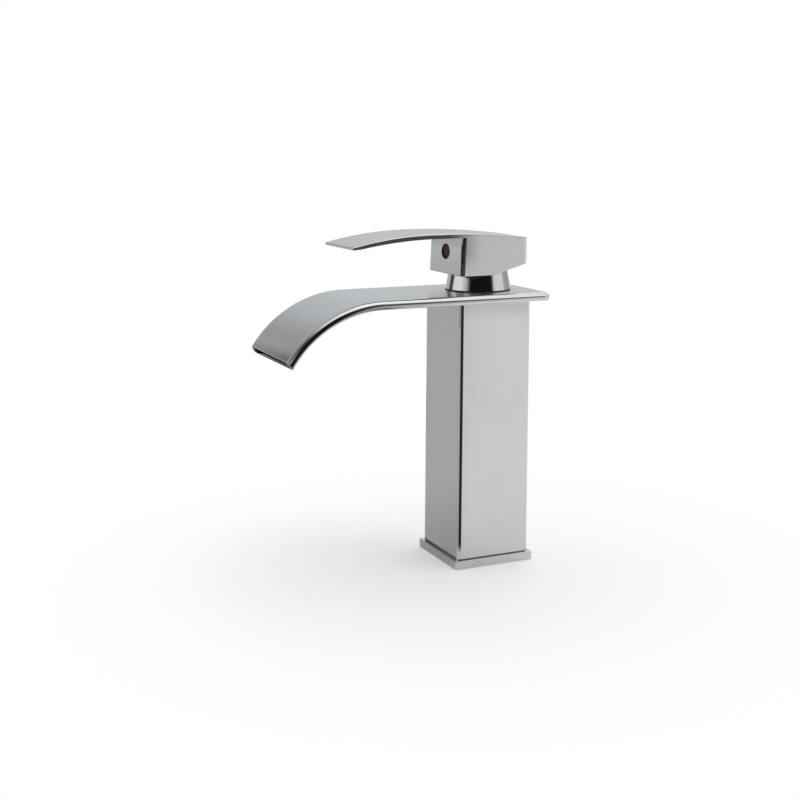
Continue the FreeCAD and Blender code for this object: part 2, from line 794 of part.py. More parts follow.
def soften_top_edge(body):
    """Rounds the top edge, which runs from the tip up the left side, round the back and down the right."""
    document = FreeCAD.newDocument("lever")
    solid = document.addObject("Part::Feature", "solid")
    solid.Shape = body
    rows = []
    for number, edge in enumerate(solid.Shape.Edges, 1):
        front, back = sorted((edge.Vertexes[0].Point, edge.Vertexes[-1].Point), key=lambda p: p.y)
        middle = edge.valueAt((edge.FirstParameter + edge.LastParameter) / 2)
        along_side = abs(middle.x) > lever_half / 2
        if all(on_lever_top(p) for p in (front, middle, back)) and (along_side or middle.y > 0):
            radii = [top_edge_radius(front), top_edge_radius(back)]
            if middle.x > 0:
                radii.reverse()
            rows.append((number, *radii))
    rounded = document.addObject("Part::Fillet", "rounded")
    rounded.Base = solid
    rounded.Edges = rows
    document.recompute()
    return rounded.Shape


def on_block_foot(p):
    """True for a point on the outer edge of the block's underside."""
    past_flat = p.y + block_flat_end
    rise = block_back_rise * max(past_flat, 0) / (block_back + block_flat_end)
    on_rim = abs(p.x) > lever_half / 2 or abs(past_flat) > block_back / 2
    return on_rim and abs(block_foot + rise - p.z) < near


def index_oval(gap, y0, y1):
    """Oval block along Y, all round inside the plug's seat by gap."""
    middle = Vector(0, y0, index_level)
    side = middle + Vector(index_half_width - gap, 0, 0)
    top = middle + Vector(0, 0, index_radius - gap)
    outline = Part.Wire(Part.Ellipse(side, top, middle).toShape())
    return Part.Face(outline).extrude(Vector(0, y1 - y0, 0))


def make_lever_handle():
    body = make_blade().fuse(make_block()).removeSplitter()
    body = soften_top_edge(body)
    body = body.makeFillet(block_edge_radius, edges_on(body, on_block_foot))
    hollow_back = block_back - back_wall
    corner = lever_hollow_corner_radius
    hollow = rounded_prism(lever_hollow_half, hollow_front, hollow_back, 0, lever_ceiling, corner, corner)
    hollow = hollow.cut(box(-boss_half, boss_half, block_front, boss_half, boss_foot, lever_ceiling))
    socket_half = stem_side / 2 + fit_gap / 2
    socket = box(-socket_half, socket_half, -socket_half, socket_half, boss_foot, socket_roof)
    index_seat = index_oval(0, block_front, index_floor)
    screw_hole = cylinder_along_y(screw_radius + running_gap, index_floor, 0, index_level)
    return body.cut([hollow, socket, index_seat, screw_hole])


def make_index_plug():
    front = index_face + index_recess
    plug = index_oval(fit_gap, front, front + index_plug_thickness)
    dome_radius = crown_radius(index_half_width, index_crown)
    return plug.common(Part.makeSphere(dome_radius, Vector(0, front + dome_radius, index_level)))


def make_lever_set_screw():
    end = -stem_side / 2
    front = end - screw_length
    corners = []
    for turn in range(0, 361, 60):
        across = screw_socket_radius * cos(radians(turn))
        up = screw_socket_radius * sin(radians(turn))
        corners.append(Vector(across, front, index_level + up))
    socket = Part.Face(Part.makePolygon(corners)).extrude(Vector(0, screw_socket_depth, 0))
    return cylinder_along_y(screw_radius, front, end, index_level).cut(socket)


def make_parts():
    parts = {
        "base_plate": make_base_plate(),
        "base_gasket": make_base_gasket(),
        "column_shell": make_column_shell(),
        "inlet_block": make_inlet_block(),
        "inlet_tube_rings": make_inlet_tube_rings(),
        "valve_body": make_valve_body(),
        "spout_upper_shell": make_spout_upper_shell(),
        "spout_lower_plate": make_spout_lower_plate(),
        "cartridge_housing": make_cartridge_housing(),
        "cartridge_base": make_cartridge_base(),
        "cartridge_port_seals": make_port_seals(),
        "fixed_ceramic_disc": make_fixed_disc(),
        "moving_ceramic_disc": make_moving_disc(),
        "disc_carrier": make_disc_carrier(),
        "turning_collar": make_turning_collar(),
        "turning_collar_ring": make_turning_collar_ring(),
        "stem": make_stem(),
        "stem_pin": make_stem_pin(),
        "cartridge_ring_nut": make_ring_nut(),
        "cone_cover": make_cone_cover(),
        "cone_cover_ring": make_cone_cover_ring(),
        "cone_cover_seal": make_cone_cover_seal(),
        "lever_handle": make_lever_handle(),
        "lever_set_screw": make_lever_set_screw(),
        "index_plug": make_index_plug(),
    }
    for side, (x, y) in zip(("hot", "cold"), inlet_places):
        parts[side + "_inlet_tube"] = make_inlet_tube(x, y)
    return parts


def main():
    os.makedirs("parts", exist_ok=True)
    for name, shape in sorted(make_parts().items()):
        volume = sum(solid.Volume for solid in shape.Solids)
        print(f"{name}: {len(shape.Solids)} solid(s), {volume:.1f} mm3, valid {shape.isValid()}")
        shape.exportStep(f"parts/{name}.step")
    print(f"spout top {spout_top:.2f}, lever crown {lever_crown:.2f}, cross pin {pivot_level:.2f}")
    print(f"column {2 * column_half:.2f}, base {2 * base_half:.2f}, disc travel {disc_travel:.3f}")


main()
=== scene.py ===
import bpy
import json
from math import cos, radians, sin, tau
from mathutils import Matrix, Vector


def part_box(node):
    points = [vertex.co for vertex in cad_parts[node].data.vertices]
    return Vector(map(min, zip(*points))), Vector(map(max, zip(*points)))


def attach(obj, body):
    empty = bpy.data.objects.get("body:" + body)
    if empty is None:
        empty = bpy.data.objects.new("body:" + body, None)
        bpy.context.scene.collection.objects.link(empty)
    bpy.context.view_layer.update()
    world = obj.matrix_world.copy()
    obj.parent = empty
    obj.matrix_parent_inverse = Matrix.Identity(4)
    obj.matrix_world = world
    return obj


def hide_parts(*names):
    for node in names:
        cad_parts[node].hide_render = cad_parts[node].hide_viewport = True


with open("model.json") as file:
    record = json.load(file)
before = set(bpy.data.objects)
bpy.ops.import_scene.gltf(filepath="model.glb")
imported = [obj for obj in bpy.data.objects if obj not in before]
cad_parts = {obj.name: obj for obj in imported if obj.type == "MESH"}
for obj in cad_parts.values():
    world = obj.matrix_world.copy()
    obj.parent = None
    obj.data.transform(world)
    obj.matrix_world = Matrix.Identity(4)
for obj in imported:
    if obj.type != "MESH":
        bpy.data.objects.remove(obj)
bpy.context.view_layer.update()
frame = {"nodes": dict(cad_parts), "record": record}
nodes = frame["nodes"]
scene = bpy.context.scene
print("frame loaded:", len(nodes), "nodes")


# small helpers for node trees

def fillInputs(tree, node, inputs):
    for key, value in inputs.items():
        if isinstance(value, bpy.types.NodeSocket):
            tree.links.new(value, node.inputs[key])
        else:
            node.inputs[key].default_value = value


def addNode(tree, kind, inputs=None, **settings):
    node = tree.nodes.new(kind)
    for name, value in settings.items():
        setattr(node, name, value)
    fillInputs(tree, node, inputs or {})
    return node


def grey(level):
    return (level, level, level, 1.0)


def maths(tree, operation, first, second=0.0):
    node = addNode(tree, "ShaderNodeMath", {0: first, 1: second}, operation=operation)
    return node.outputs[0]


def multiplied(tree, first, *others):
    for other in others:
        first = maths(tree, "MULTIPLY", first, other)
    return first


def vectorMaths(tree, operation, first, second=(0.0, 0.0, 0.0)):
    node = addNode(tree, "ShaderNodeVectorMath", {0: first, 1: second}, operation=operation)
    return node.outputs["Value" if operation == "LENGTH" else "Vector"]


def axes(tree, vector):
    return addNode(tree, "ShaderNodeSeparateXYZ", {0: vector}).outputs


def degreesAway(tree, azimuth, centre):
    cosine = maths(tree, "COSINE", maths(tree, "SUBTRACT", azimuth, centre))
    return maths(tree, "DEGREES", maths(tree, "ARCCOSINE", cosine))


def ramp(tree, value, low, high, toLow=0.0, toHigh=1.0):
    inputs = {"Value": value, "From Min": low, "From Max": high, "To Min": toLow, "To Max": toHigh}
    node = addNode(tree, "ShaderNodeMapRange", inputs, interpolation_type="SMOOTHSTEP")
    return node.outputs["Result"]


# a mix node's sockets go by number, because several have the same name
def mixValues(tree, factor, first, second):
    return addNode(tree, "ShaderNodeMix", {0: factor, 2: first, 3: second}).outputs[0]


def mixColours(tree, factor, first, second, blend="MIX"):
    inputs = {0: factor, 6: first, 7: second}
    return addNode(tree, "ShaderNodeMix", inputs, data_type="RGBA", blend_type=blend).outputs[2]


def newGroup(name, vectors, values, results):
    group = bpy.data.node_groups.new(name, "ShaderNodeTree")
    for label in vectors:
        group.interface.new_socket(label, in_out="INPUT", socket_type="NodeSocketVector")
    for label in values:
        group.interface.new_socket(label, in_out="INPUT", socket_type="NodeSocketFloat")
    for label in results:
        group.interface.new_socket(label, in_out="OUTPUT", socket_type="NodeSocketFloat")
    return group, group.nodes.new("NodeGroupInput").outputs, group.nodes.new("NodeGroupOutput").inputs


def useGroup(tree, group, inputs):
    return addNode(tree, "ShaderNodeGroup", inputs, node_tree=group).outputs


# studio: one bright box over the faucet, one in front on the left, dark flags around the lens

studio = {
    "background": (1.0, 1.0, 1.0, 1.0),
    "strength": 1.0,
    "wallTint": (0.945, 1.0, 1.045),
    # level of the walls at heights above the horizon, in degrees
    "walls": [(-6, 0.66), (4, 0.655), (12, 0.66), (20, 0.64), (30, 0.55), (50, 0.6), (90, 0.7)],
    # centre and half width round the faucet, from +X towards +Y, then lowest and highest, all in degrees;
    # edges are soft, and to the sides they can fade more slowly; a later panel covers an earlier one
    "panels": {
        "overheadBox": {"centre": 62, "half": 98, "low": 33, "high": 84, "soft": 4.0, "level": 1.4},
        "overheadFarSide": {"centre": 105, "half": 58, "low": 19, "high": 60, "soft": 4.0, "level": 1.02},
        "rightWall": {"centre": 54, "half": 23, "low": -9, "high": 21, "soft": 5.0, "level": 0.92},
        "rightWallEnd": {"centre": 103, "half": 22, "low": -6, "high": 8, "soft": 5.0, "level": 0.44},
        "rightFlag": {"centre": 12, "half": 24, "low": 17, "high": 51,
                      "fade": 6.0, "soft": 5.0, "level": 0.12},
        "frontBox": {"centre": -100, "half": 34, "low": 5, "high": 32, "soft": 2.5, "level": 1.02},
        "frontShade": {"centre": -80, "half": 42, "low": 31, "high": 62, "soft": 6.0, "level": 0.32},
        "frontBoxDimEnd": {"centre": -74, "half": 11, "low": 5, "high": 32, "soft": 7.0, "level": 0.72},
        "leftCorner": {"centre": -168, "half": 10, "low": 10, "high": 30, "soft": 9.0, "level": 0.44},
        "leftStrip": {"centre": -141, "half": 13, "low": 4, "high": 16,
                      "fade": 8.0, "soft": 2.0, "level": 0.05},
        "aboveLeftStrip": {"centre": -157.5, "half": 7, "low": 11, "high": 26, "soft": 2.6, "level": 0.06},
        "leftWallFoot": {"centre": -155, "half": 26, "low": -12, "high": 1, "soft": 2.0, "level": 0.55},
        "underFrontBox": {"centre": -96, "half": 34, "low": -9, "high": 3, "soft": 1.2, "level": 0.04},
        "behindLens": {"centre": -18, "half": 47.5, "low": 10.8, "high": 20,
                       "fade": 13.0, "soft": 2.0, "level": 0.008},
        "underLens": {"centre": -46, "half": 26, "low": -14, "high": 8.5, "soft": 2.5, "level": 0.01},
        "besideLens": {"centre": -2, "half": 23.5, "low": -14, "high": 31, "soft": 5.0, "level": 0.01},
        "overLens": {"centre": -25, "half": 33, "low": 29, "high": 47, "soft": 4.0, "level": 0.05},
    },
}


def makePanelGroup():
    values = ["Azimuth", "Height", "Centre", "Half", "Low", "High", "Fade", "Soft"]
    group, given, result = newGroup("studioPanel", [], values, ["Mask"])
    away = degreesAway(group, given["Azimuth"], maths(group, "RADIANS", given["Centre"]))
    edges = [(away, "Half", "SUBTRACT", "Fade"), (given["Height"], "Low", "ADD", "Soft"),
             (given["Height"], "High", "SUBTRACT", "Soft")]
    masks = []
    for value, edge, inside, soft in edges:
        outside = "ADD" if inside == "SUBTRACT" else "SUBTRACT"
        start = maths(group, outside, given[edge], given[soft])
        end = maths(group, inside, given[edge], given[soft])
        masks.append(ramp(group, value, start, end))
    group.links.new(multiplied(group, *masks), result["Mask"])
    return group


def makeWorld():
    world = bpy.data.worlds.new("studio")
    scene.world = world
    world.use_nodes = True
    tree = world.node_tree
    tree.nodes.clear()
    direction = axes(tree, addNode(tree, "ShaderNodeTexCoord").outputs["Generated"])
    azimuth = maths(tree, "ARCTAN2", direction["Y"], direction["X"])
    height = maths(tree, "DEGREES", maths(tree, "ARCSINE", direction["Z"]))
    level = studio["walls"][0][1]    # climbs step by step
    for (low, lowLevel), (high, highLevel) in zip(studio["walls"], studio["walls"][1:]):
        rise = ramp(tree, height, low, high, 0.0, highLevel - lowLevel)
        level = maths(tree, "ADD", level, rise)
    tinted = [maths(tree, "MULTIPLY", level, part) for part in studio["wallTint"]]
    colour = addNode(tree, "ShaderNodeCombineColor", dict(enumerate(tinted))).outputs[0]
    panelGroup = makePanelGroup()
    for panel in studio["panels"].values():
        inputs = {"Azimuth": azimuth, "Height": height, "Fade": panel.get("fade", panel["soft"])}
        inputs.update({name.capitalize(): panel[name] for name in ("centre", "half", "low", "high", "soft")})
        mask = useGroup(tree, panelGroup, inputs)["Mask"]
        colour = mixColours(tree, mask, colour, grey(panel["level"]))
    toLens = addNode(tree, "ShaderNodeLightPath").outputs["Is Camera Ray"]
    colour = mixColours(tree, toLens, colour, studio["background"])
    background = addNode(tree, "ShaderNodeBackground", {"Color": colour, "Strength": studio["strength"]})
    addNode(tree, "ShaderNodeOutputWorld", {"Surface": background.outputs[0]})


# floor: white paper; what the chrome mirrors of it is painted: painted shade and dark reflections towards the
# lens and on the left, painted contact shade close to the base, and a painted glow

floorPaper = {
    "radius": 4.0,
    "sides": 96,
    "colour": (0.92, 0.92, 0.92, 1.0),
    "roughness": 0.75,
    "gloss": 0.1,
    "fill": 0.26,                      # added for the lens, so that clear paper is white
    "mirrorFill": 0.25,                # painted glow, added for the chrome
    "fillNear": (0.01, 0.16, 0.7),     # painted contact shade: between these distances the glow grows from this share to the whole
    "clear": (0.04, 0.24),             # between these distances the lens comes to see plain white
    "apex": (0.0215, -0.0215, 0.0),    # foot of the column's corner, where distances start
    "cardEnd": 9.0,                    # past the paper's edge
    # centre and half width in degrees, then where it starts and ends in metres, with soft and blurred edges;
    # only the chrome sees these painted shade and dark patches
    "cards": {
        "farRight": {"centre": 33, "half": 12, "near": 1.07, "soft": 4.0, "blur": 0.09, "level": 0.82},
        "frontShade": {"centre": -48.5, "half": 73.5, "near": 0.034, "soft": 6.0, "blur": 0.01, "level": 0.6},
        "underLens": {"centre": -22, "half": 41, "near": 0.034, "soft": 2.5, "blur": 0.01, "level": 0.025},
        "behindLens": {"centre": -22, "half": 49.3, "near": 1.70, "soft": 1.2, "blur": 0.25, "level": 0.07},
        "farFront": {"centre": -92, "half": 30, "near": 1.30, "soft": 3.0, "blur": 0.15, "level": 0.04},
        "leftShade": {"centre": -150, "half": 29, "near": 0.0, "soft": 4.0, "blur": 0.08, "level": 0.59},
        "farLeft": {"centre": -155, "half": 27, "near": 3.0, "soft": 4.0, "blur": 1.2, "level": 0.7},
        "leftPatch": {"centre": -167.7, "half": 5, "near": 0.22, "far": 0.51,
                      "soft": 2.0, "blur": 0.04, "level": 0.1},
    },
}


# paints shade and dark patches into the paper, for glossy rays only
def layCards(tree, azimuth, distance, toChrome):
    shade = 1.0
    for card in floorPaper["cards"].values():
        half, near, soft, blur = [card[name] for name in ("half", "near", "soft", "blur")]
        far = card.get("far", floorPaper["cardEnd"])
        away = degreesAway(tree, azimuth, radians(card["centre"]))
        between = ramp(tree, away, half + soft, half - soft)
        started = ramp(tree, distance, near - blur, near + blur)
        notEnded = ramp(tree, distance, far + blur, far - blur)
        mask = multiplied(tree, between, started, notEnded, toChrome)
        shade = mixValues(tree, mask, shade, card["level"])
    return addNode(tree, "ShaderNodeCombineColor", {0: shade, 1: shade, 2: shade}).outputs[0]


def makeFloor():
    bpy.ops.object.select_all(action="DESELECT")
    bpy.ops.mesh.primitive_circle_add(vertices=floorPaper["sides"], radius=floorPaper["radius"],
                                      fill_type="NGON")
    floor = bpy.context.object
    floor.name = "studioFloor"
    material = bpy.data.materials.new("floorPaper")
    material.use_nodes = True
    tree = material.node_tree
    tree.nodes.clear()
    place = addNode(tree, "ShaderNodeTexCoord").outputs["Object"]
    place = vectorMaths(tree, "SUBTRACT", place, floorPaper["apex"])
    parts = axes(tree, place)
    azimuth = maths(tree, "ARCTAN2", parts["Y"], parts["X"])
    distance = vectorMaths(tree, "LENGTH", place)
    path = addNode(tree, "ShaderNodeLightPath").outputs
    toLens, toChrome = path["Is Camera Ray"], path["Is Glossy Ray"]
    shaded = layCards(tree, azimuth, distance, toChrome)
    paper = addNode(tree, "ShaderNodeBsdfPrincipled", {
        "Base Color": mixColours(tree, 1.0, shaded, floorPaper["colour"], "MULTIPLY"),
        "Roughness": floorPaper["roughness"],
        "Specular IOR Level": floorPaper["gloss"],
    })
    start, end, share = floorPaper["fillNear"]
    nearby = ramp(tree, distance, start, end, share, 1.0)
    # the painted glow that the chrome sees, weaker close to the base as painted contact shade
    mirrored = multiplied(tree, toChrome, nearby, floorPaper["mirrorFill"])
    seen = maths(tree, "ADD", maths(tree, "MULTIPLY", toLens, floorPaper["fill"]), mirrored)
    fill = addNode(tree, "ShaderNodeEmission", {"Color": shaded, "Strength": seen})
    lit = addNode(tree, "ShaderNodeAddShader", {0: paper.outputs[0], 1: fill.outputs[0]})
    white = {"Color": studio["background"], "Strength": studio["strength"]}
    glow = addNode(tree, "ShaderNodeEmission", white)
    clear = maths(tree, "MULTIPLY", ramp(tree, distance, *floorPaper["clear"]), toLens)
    shader = addNode(tree, "ShaderNodeMixShader", {0: clear, 1: lit.outputs[0], 2: glow.outputs[0]})
    addNode(tree, "ShaderNodeOutputMaterial", {"Surface": shader.outputs[0]})
    floor.data.materials.append(material)


lens = {
    "place": (0.61468, -0.32314, 0.22938),
    "turn": (90 - 11.58, 0.0, 65.73),    # tipped down from level, and turned to the faucet
    "focal": 58.05,
    "sensor": 36.0,
}


def makeCamera():
    data = bpy.data.cameras.new("lens")
    data.lens = lens["focal"]
    data.sensor_width = lens["sensor"]
    camera = bpy.data.objects.new("lens", data)
    scene.collection.objects.link(camera)
    camera.location = lens["place"]
    camera.rotation_euler = [radians(angle) for angle in lens["turn"]]
    scene.camera = camera


scene.view_settings.view_transform = "Standard"
makeWorld()
makeFloor()
makeCamera()
print("studio set up")


# shared surface effects

def noise(tree, place, scale, detail, rough):
    inputs = {"Vector": place, "Scale": scale, "Detail": detail, "Roughness": rough}
    return addNode(tree, "ShaderNodeTexNoise", inputs).outputs["Fac"]


# soft cloudy patches where hands and cloths have been
cloudNoise = {"detail": 4.0, "rough": 0.55}


def makeHandMarks():
    group, given, result = newGroup("handMarks", ["Place"], ["Scale", "Start", "Full"], ["Mask"])
    cloud = noise(group, given["Place"], given["Scale"], **cloudNoise)
    group.links.new(ramp(group, cloud, given["Start"], given["Full"]), result["Mask"])
    return group


# fine lines along the direction in which the stretch is small
fineLines = {
    "noise": {"detail": 3.0, "rough": 0.6},
    "edges": (0.35, 0.65),       # heights at which the mask starts and is full
}


def makeDrawnLines():
    group, given, result = newGroup("drawnLines", ["Place", "Stretch"], ["Scale"], ["Mask", "Height"])
    place = vectorMaths(group, "MULTIPLY", given["Place"], given["Stretch"])
    lines = noise(group, place, given["Scale"], **fineLines["noise"])
    group.links.new(ramp(group, lines, *fineLines["edges"]), result["Mask"])
    group.links.new(lines, result["Height"])
    return group


# tool marks round an upright axis
toolMarks = {
    "noise": {"scale": 90.0, "detail": 2.0, "rough": 0.5},
    "waver": 12.0,               # radians at a full waver
    "half": 0.5,                 # half the height of a ring, and its middle
}


def makeTurnedRings():
    group, given, result = newGroup("turnedRings", ["Place"], ["Pitch", "Waver"], ["Height"])
    across = vectorMaths(group, "LENGTH", vectorMaths(group, "MULTIPLY", given["Place"], (1.0, 1.0, 0.0)))
    along = maths(group, "ADD", across, axes(group, given["Place"])["Z"])
    turns = maths(group, "MULTIPLY", maths(group, "DIVIDE", along, given["Pitch"]), tau)
    uneven = noise(group, given["Place"], **toolMarks["noise"])
    waver = multiplied(group, uneven, given["Waver"], toolMarks["waver"])
    wave = maths(group, "SINE", maths(group, "ADD", turns, waver))
    height = maths(group, "ADD", maths(group, "MULTIPLY", wave, toolMarks["half"]), toolMarks["half"])
    group.links.new(height, result["Height"])
    return group


# fine eroded texture of a mould, and the slow tone of the flow behind it
mouldTexture = {
    "noise": {"detail": 2.0, "rough": 0.6},
    "flowNoise": {"detail": 3.0, "rough": 0.5},
    "flowStretch": (1.0, 1.0, 0.4),
    "flowEdges": (0.35, 0.7),    # where the tone starts and is full
    "roughEdges": (0.3, 0.7),    # heights between which a finish changes its roughness
}


def makeMouldGrain():
    group, given, result = newGroup("mouldGrain", ["Place"], ["Scale", "Flow"], ["Height", "Tone"])
    grain = noise(group, given["Place"], given["Scale"], **mouldTexture["noise"])
    group.links.new(grain, result["Height"])
    place = vectorMaths(group, "MULTIPLY", given["Place"], mouldTexture["flowStretch"])
    flow = noise(group, place, given["Flow"], **mouldTexture["flowNoise"])
    group.links.new(ramp(group, flow, *mouldTexture["flowEdges"]), result["Tone"])
    return group


handMarks = makeHandMarks()
drawnLines = makeDrawnLines()
turnedRings = makeTurnedRings()
mouldGrain = makeMouldGrain()


# finishes; scales are per metre, and a bump has its strength and its depth in metres

def newFinish(name):
    material = bpy.data.materials.new(name)
    material.use_nodes = True
    tree = material.node_tree
    shader = tree.nodes["Principled BSDF"]
    place = addNode(tree, "ShaderNodeTexCoord").outputs["Object"]
    return material, tree, shader, place


def bumped(tree, height, strength, depth):
    inputs = {"Height": height, "Strength": strength, "Distance": depth}
    return addNode(tree, "ShaderNodeBump", inputs).outputs["Normal"]


chrome = {
    "colour": (0.635, 0.635, 0.635, 1.0),
    "smudged": (0.575, 0.58, 0.585, 1.0),
    "roughness": (0.03, 0.075),      # clean, smudged
    "marks": {"Scale": 26.0, "Start": 0.48, "Full": 0.78},
    "lines": {"Stretch": (1.0, 1.0, 0.06), "Scale": 420.0},
    "lineShare": 0.18,               # of the smudge's tone
    "waves": {"scale": 34.0, "detail": 1.0, "rough": 0.5},    # left by the polishing wheel
    "bump": (1.0, 0.00003),
    "flatTops": (0.9, 0.99),         # faces that point up this much are rubbed with a softer wheel
    "satin": 0.2,                    # roughness added there
}


def makeChrome():
    material, tree, shader, place = newFinish("polishedChrome")
    marks = useGroup(tree, handMarks, dict(chrome["marks"], Place=place))["Mask"]
    lines = useGroup(tree, drawnLines, dict(chrome["lines"], Place=place))["Mask"]
    tone = maths(tree, "ADD", maths(tree, "MULTIPLY", lines, chrome["lineShare"]),
                 maths(tree, "MULTIPLY", marks, 1.0 - chrome["lineShare"]))
    upward = axes(tree, addNode(tree, "ShaderNodeTexCoord").outputs["Normal"])["Z"]
    satin = ramp(tree, upward, *chrome["flatTops"], 0.0, chrome["satin"])
    fillInputs(tree, shader, {
        "Base Color": mixColours(tree, tone, chrome["colour"], chrome["smudged"]),
        "Roughness": maths(tree, "ADD", ramp(tree, marks, 0.0, 1.0, *chrome["roughness"]), satin),
        "Metallic": 1.0,
        "Normal": bumped(tree, noise(tree, place, **chrome["waves"]), *chrome["bump"]),
    })
    return material


brass = {
    "name": "machinedBrass",
    "colour": (0.72, 0.53, 0.25, 1.0),
    "worn": (0.42, 0.27, 0.11, 1.0),      # tarnish
    "marks": {"Scale": 70.0, "Start": 0.42, "Full": 0.72},
    "roughness": (0.22, 0.42),
    "rings": {"Pitch": 0.00035, "Waver": 0.5},
    "bump": (0.8, 0.000012),
}

steel = {
    "name": "turnedSteel",
    "colour": (0.60, 0.60, 0.61, 1.0),
    "worn": (0.46, 0.46, 0.47, 1.0),
    "marks": {"Scale": 150.0, "Start": 0.4, "Full": 0.7},
    "roughness": (0.2, 0.34),
    "rings": {"Pitch": 0.00022, "Waver": 0.4},
    "bump": (0.7, 0.000008),
}


def makeTurned(look):
    material, tree, shader, place = newFinish(look["name"])
    worn = useGroup(tree, handMarks, dict(look["marks"], Place=place))["Mask"]
    rings = useGroup(tree, turnedRings, dict(look["rings"], Place=place))["Height"]
    fillInputs(tree, shader, {
        "Base Color": mixColours(tree, worn, look["colour"], look["worn"]),
        "Roughness": ramp(tree, worn, 0.0, 1.0, *look["roughness"]),
        "Metallic": 1.0,
        "Normal": bumped(tree, rings, *look["bump"]),
    })
    return material


copper = {
    "colour": (0.78, 0.40, 0.26, 1.0),
    "oxide": (0.36, 0.15, 0.08, 1.0),
    "marks": {"Scale": 55.0, "Start": 0.4, "Full": 0.75},
    "lines": {"Stretch": (1.0, 1.0, 0.03), "Scale": 900.0},
    "lineShare": 0.3,                     # of the oxide's tone
    "roughness": (0.2, 0.4),
    "bump": (0.8, 0.00001),
}


def makeCopper():
    material, tree, shader, place = newFinish("drawnCopper")
    oxide = useGroup(tree, handMarks, dict(copper["marks"], Place=place))["Mask"]
    lines = useGroup(tree, drawnLines, dict(copper["lines"], Place=place))
    tone = maths(tree, "MAXIMUM", maths(tree, "MULTIPLY", lines["Mask"], copper["lineShare"]), oxide)
    fillInputs(tree, shader, {
        "Base Color": mixColours(tree, tone, copper["colour"], copper["oxide"]),
        "Roughness": ramp(tree, oxide, 0.0, 1.0, *copper["roughness"]),
        "Metallic": 1.0,
        "Normal": bumped(tree, lines["Height"], *copper["bump"]),
    })
    return material


# the tone is the colour where the flow is full
moulded = {
    "seal_rubber": {
        "name": "sealRubber",
        "colour": (0.024, 0.024, 0.025, 1.0),
        "tone": (0.05, 0.05, 0.05, 1.0),
        "grain": {"Scale": 2600.0, "Flow": 120.0},
        "roughness": (0.5, 0.72),
        "gloss": 0.35,
        "bump": (0.7, 0.00003),
    },
    "cartridge_plastic": {
        "name": "cartridgePlastic",
        "colour": (0.80, 0.80, 0.77, 1.0),
        "tone": (0.70, 0.70, 0.66, 1.0),
        "grain": {"Scale": 3200.0, "Flow": 70.0},
        "roughness": (0.34, 0.5),
        "gloss": 0.5,
        "bump": (0.7, 0.000015),
    },
    "slide_plastic": {
        "name": "slidePlastic",
        "colour": (0.14, 0.15, 0.16, 1.0),
        "tone": (0.2, 0.21, 0.22, 1.0),
        "grain": {"Scale": 3200.0, "Flow": 90.0},
        "roughness": (0.32, 0.46),
        "gloss": 0.5,
        "bump": (0.7, 0.000015),
    },
    "disc_ceramic": {
        "name": "lappedCeramic",
        "colour": (0.90, 0.89, 0.86, 1.0),
        "tone": (0.84, 0.82, 0.77, 1.0),
        "grain": {"Scale": 5200.0, "Flow": 200.0},
        "roughness": (0.08, 0.2),
        "gloss": 0.6,
        "bump": (0.7, 0.000003),
    },
}


def makeMoulded(look):
    material, tree, shader, place = newFinish(look["name"])
    grain = useGroup(tree, mouldGrain, dict(look["grain"], Place=place))
    fillInputs(tree, shader, {
        "Base Color": mixColours(tree, grain["Tone"], look["colour"], look["tone"]),
        "Roughness": ramp(tree, grain["Height"], *mouldTexture["roughEdges"], *look["roughness"]),
        "Specular IOR Level": look["gloss"],
        "Normal": bumped(tree, grain["Height"], *look["bump"]),
    })
    return material


indexRed = {
    "colour": (0.15, 0.022, 0.03, 1.0),
    # painted shade: the plug's rim is darkened as if shaded by the recess it sits in
    "rim": (0.05, 0.014, 0.014, 1.0),
    "fade": (0.0018, 0.0044),       # from the middle of the plug, where the painted rim shade starts and where it is full
    "along": (1.0, 0.0, 1.0),       # the plug's face
    "grain": {"Scale": 4000.0, "Flow": 300.0},
    "flowShare": 0.25,              # of the painted rim shade's colour, reached by the random flow tone
    "roughness": (0.24, 0.36),
    "gloss": 0.08,
    "bump": (0.6, 0.000006),
}


def makeIndexRed():
    material, tree, shader, place = newFinish("indexRed")
    low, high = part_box("index_plug")
    fromMiddle = vectorMaths(tree, "SUBTRACT", place, (Vector(low) + Vector(high)) / 2)
    reach = vectorMaths(tree, "LENGTH", vectorMaths(tree, "MULTIPLY", fromMiddle, indexRed["along"]))
    grain = useGroup(tree, mouldGrain, dict(indexRed["grain"], Place=place))
    flow = maths(tree, "MULTIPLY", grain["Tone"], indexRed["flowShare"])
    # the painted rim shade, or the random flow tone where that is stronger
    edge = maths(tree, "MAXIMUM", ramp(tree, reach, *indexRed["fade"]), flow)
    fillInputs(tree, shader, {
        "Base Color": mixColours(tree, edge, indexRed["colour"], indexRed["rim"]),
        "Roughness": ramp(tree, grain["Height"], *mouldTexture["roughEdges"], *indexRed["roughness"]),
        "Specular IOR Level": indexRed["gloss"],
        "Normal": bumped(tree, grain["Height"], *indexRed["bump"]),
    })
    return material


finishes = {"polished_chrome": makeChrome(), "raw_brass": makeTurned(brass), "copper_tube": makeCopper(),
            "steel": makeTurned(steel), "index_red": makeIndexRed()}
finishes.update({slot: makeMoulded(look) for slot, look in moulded.items()})
for row in frame["record"]["subparts"]:
    mesh = nodes[row["node"]].data
    mesh.materials.clear()
    mesh.materials.append(finishes[row["material_slot"]])
print("finishes set:", len(finishes))


# modelling helpers

picking = {
    "facing": 0.9,      # a face points along an axis when its normal reaches this far
    "climb": 1e-4,      # an upright edge climbs more than this
    "drift": 1e-6,      # and goes sideways less than this
    "level": 1e-5,      # heights closer than this are the same
}


def deselectAll():
    if bpy.context.object and bpy.context.object.mode != "OBJECT":
        bpy.ops.object.mode_set(mode="OBJECT")
    bpy.ops.object.select_all(action="DESELECT")


